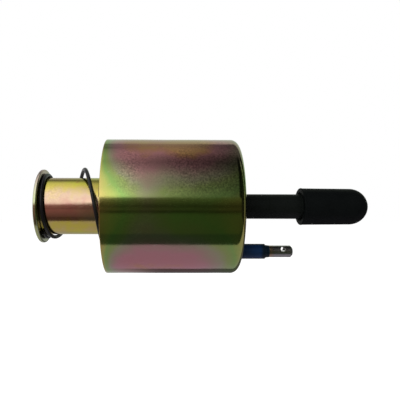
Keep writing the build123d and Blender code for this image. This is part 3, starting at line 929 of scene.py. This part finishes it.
def room_and_softbox():
    """The softbox fades upward and to the right; under its edge is a dim room with a table edge."""
    material, tree, glow = glowing("room_and_softbox")
    position = put(tree, "ShaderNodeTexCoord").outputs["Object"]
    place = put(tree, "ShaderNodeSeparateXYZ", {0: position}).outputs
    height = maths(tree, "ARCTAN2", place["Z"], maths(tree, "MULTIPLY", place["Y"], -1.0))
    height = maths(tree, "DEGREES", height)
    upright = maths(tree, "MULTIPLY", place["Z"], place["Z"])
    distance = maths(tree, "SQRT", maths(tree, "MULTIPLY_ADD", place["Y"], place["Y"], upright))

    # Where along the part a spot of the cloth is seen; the plunger's side of it shows a window
    seen_at = maths(tree, "MULTIPLY_ADD", distance, 1 / eye_distance, 1.0)
    seen_at = maths(tree, "DIVIDE", place["X"], seen_at)
    window = span(tree, seen_at, window_start, window_end, 1.0, 0.0)

    # The lit cloth, the weaker scrim over it, and the soft folds and dark seams in both
    halvings = maths(tree, "DIVIDE", maths(tree, "SUBTRACT", place["X"], cloth_full_x), -cloth_halving)
    fading = maths(tree, "POWER", 2.0, halvings)
    fading = maths(tree, "MINIMUM", fading, 1.0)
    cloth_stops = [(14, 1.30), (20, 1.25), (30, 1.0), (44, 0.87), (77, 0.40), (110, 0.40)]
    cloth = maths(tree, "MULTIPLY", fading, strengths(tree, height, cloth_stops))
    cloth = maths(tree, "MULTIPLY", cloth, cloth_light)
    scrim = maths(tree, "MULTIPLY", span(tree, place["X"], 0.0, 0.09, 1.0, 0.3), scrim_light)
    scrim = mixed(tree, span(tree, height, scrim_top, scrim_top_full), scrim, scrim_top_colour)
    cloth = mixed(tree, span(tree, height, scrim_start, scrim_full), cloth, scrim)
    fold_stops = [(40, 1.0), (45, 1.05), (54, 1.12), (64, 0.92), (74, 0.87), (85, 1.25), (97, 1.55),
                  (111, 1.15), (118, 1.0), (130, 1.0)]
    folds = maths(tree, "MULTIPLY", strengths(tree, height, fold_stops), 2.0)
    folds = mixed(tree, span(tree, seen_at, -0.020, -0.004, 0.15, 1.0), (1, 1, 1, 1), folds)
    cloth = mixed(tree, 1.0, cloth, folds, how="MULTIPLY")
    seam_stops = [(108, 0.0), (110.5, 0.45), (113.5, 0.45), (115.5, 0.30), (124, 0.30), (126, 0.55),
                  (scrim_top, 0.55), (scrim_top_full, 0.0)]
    near_mouth = span(tree, seen_at, -0.026, -0.005, 2.0, 0.0)
    seams = maths(tree, "MULTIPLY", strengths(tree, height, seam_stops), near_mouth)
    cloth = mixed(tree, 1.0, cloth, maths(tree, "SUBTRACT", 1.0, seams), how="MULTIPLY")
    pane_stops = [(7, 1.85), (18, 1.85), (47, 1.95), (80, 1.50), (91, 1.25), (103, 1.10), (112, 0.75),
                  (118, 0.42), (123, 0.20), (128, 0.20), (134, 0.36), (146, 0.54), (178, 0.54)]
    panes = maths(tree, "MULTIPLY", strengths(tree, height, pane_stops), 2.0)
    cloth = mixed(tree, window, cloth, panes)

    # The dim room under the cloth's lower edge, greenish low down and warm beside the window
    room_stops = [(-65, 0.050), (-43, 0.045), (-42, 0.080), (-14, 0.088), (-10.6, 0.072), (-10, 0.040),
                  (-7.6, 0.040), (-6.6, 0.075), (-5, 0.092), (-2.8, 0.092), (-1.8, 0.062), (1.5, 0.062),
                  (2.5, 0.085), (6, 0.12), (16, 0.24)]
    room = strengths(tree, height, room_stops)
    room = maths(tree, "MULTIPLY", room, span(tree, place["X"], -0.09, 0.09, 2.2, 1.4))
    lift = maths(tree, "MULTIPLY", window, span(tree, height, -45, -5, 0.3, 2.0))
    room = maths(tree, "MULTIPLY", room, maths(tree, "ADD", lift, 1.0))
    tints = mixed(tree, span(tree, height, -12, -8), (1.12, 1.42, 0.80, 1), (1.0, 0.98, 0.64, 1))
    tints = mixed(tree, span(tree, height, -43.5, -41.5), (1.30, 1.80, 1.30, 1), tints)
    tints = mixed(tree, window, tints, (1.42, 0.74, 0.68, 1))
    room = mixed(tree, 1.0, room, tints, how="MULTIPLY")
    lit = span(tree, maths(tree, "MULTIPLY_ADD", window, 6.5, height), 13.6, 14.4)
    tree.links.new(mixed(tree, lit, room, cloth), glow.inputs["Color"])
    return material


half_floor = floor_size / 2
floor_sides = ((-1, -1), (1, -1), (1, 1), (-1, 1))
floor_corners = [(x * half_floor, y * half_floor, floor_z) for x, y in floor_sides]
floor = new_piece("floor", bpy.data.meshes.new("floor"))
floor.data.from_pydata(floor_corners, [], [(0, 1, 2, 3)])
floor.data.materials.append(floor_paint())

under_paint = graded_card("card_grey", -0.05, -0.04, (0.62, 0.60, 0.50), (0.53, 0.49, 0.58))
across("under_card", [(-0.1, card_z - 2 * card_step), (0.11, card_z - 2 * card_step)], under_paint)
back_paint = graded_card("card_dark", -0.05, 0.0, (0.50, 0.50, 0.50), (0.12, 0.12, 0.12))
back_places = [(back_card_start, card_z - card_step), (far_card_start, card_z - card_step)]
across("back_card", back_places, back_paint)
far_places = [(far_card_start, card_z), (far_card_end, card_z)]
across("far_card", far_places, card("card_pale", 0.4), high_x=1.5)
arc = [math.radians(angle) for angle in range(-15, 179)]
cloth_places = [(-cloth_radius * math.cos(angle), cloth_radius * math.sin(angle)) for angle in arc]
across("front_cloth", [(-0.068, card_z), (-cloth_radius, card_z), *cloth_places], room_and_softbox())
right_cards = [("right_front_card", -cloth_radius, -0.05, 0.022), ("right_card", -0.05, 0.05, 0.30),
               ("right_back_card", 0.05, 0.20, 0.022)]
for name, low_y, high_y, strength in right_cards:
    stage_sheet(name, [(right_card_x, low_y, card_z), (right_card_x, low_y, side_card_top)],
                [(right_card_x, high_y, card_z), (right_card_x, high_y, side_card_top)],
                card(name, strength))
stage_sheet("left_card", [(left_card_x, -cloth_radius, card_z), (left_card_x, -cloth_radius, 0.0)],
            [(left_card_x, 0.3, card_z), (left_card_x, 0.3, 0.0)], card("card_dim", 0.10))


def lamp(name, place, watts):
    """A square lamp aimed at the part, which lights it without showing in the gloss."""
    light = bpy.data.lights.new(name, "AREA")
    light.shape = "SQUARE"
    light.size = lamp_size
    light.energy = watts
    made = bpy.data.objects.new(name, light)
    made.location = place
    made.rotation_euler = (-Vector(place)).to_track_quat("-Z", "Y").to_euler()
    made.visible_glossy = False
    bpy.context.scene.collection.objects.link(made)


lamp("key_lamp", (-0.35, -0.60, 0.30), 8.0)
lamp("fill_lamp", (0.50, -0.40, 0.35), 3.0)

world = bpy.data.worlds.new("white_room")
bpy.context.scene.world = world
world.use_nodes = True
background = world.node_tree.nodes["Background"]
background.inputs["Color"].default_value = (1, 1, 1, 1)
shown = background_rays(world.node_tree)
level = maths(world.node_tree, "MULTIPLY_ADD", shown, 1 - room_light, room_light)
world.node_tree.links.new(level, background.inputs["Strength"])

# Camera
# At the photograph's place: level with the part's axis and turned by about a degree, with the
# picture's middle moved off the part's. The values were fitted to the outlines.
photo_size = 400
focal_pixels = 445.09
centre_pixel = (171.51, 206.32)
camera_distance = 0.17156
camera_turn = 0.0163
camera_roll = -0.0022
camera_side = -0.00022
camera_data = bpy.data.cameras.new("camera")
camera_data.sensor_width = 36.0
camera_data.lens = focal_pixels * camera_data.sensor_width / photo_size
camera_data.shift_x = 0.5 - centre_pixel[0] / photo_size
camera_data.shift_y = centre_pixel[1] / photo_size - 0.5
camera_data.clip_start = 0.01
camera = bpy.data.objects.new("camera", camera_data)
outward = Vector((-math.sin(camera_turn), -math.cos(camera_turn), 0))
sideways = Vector((math.cos(camera_turn), -math.sin(camera_turn), 0))
camera.location = outward * camera_distance + sideways * camera_side
camera.rotation_euler = (math.radians(90), camera_roll, -camera_turn)
bpy.context.scene.collection.objects.link(camera)
bpy.context.scene.camera = camera
bpy.context.scene.view_settings.view_transform = "Standard"
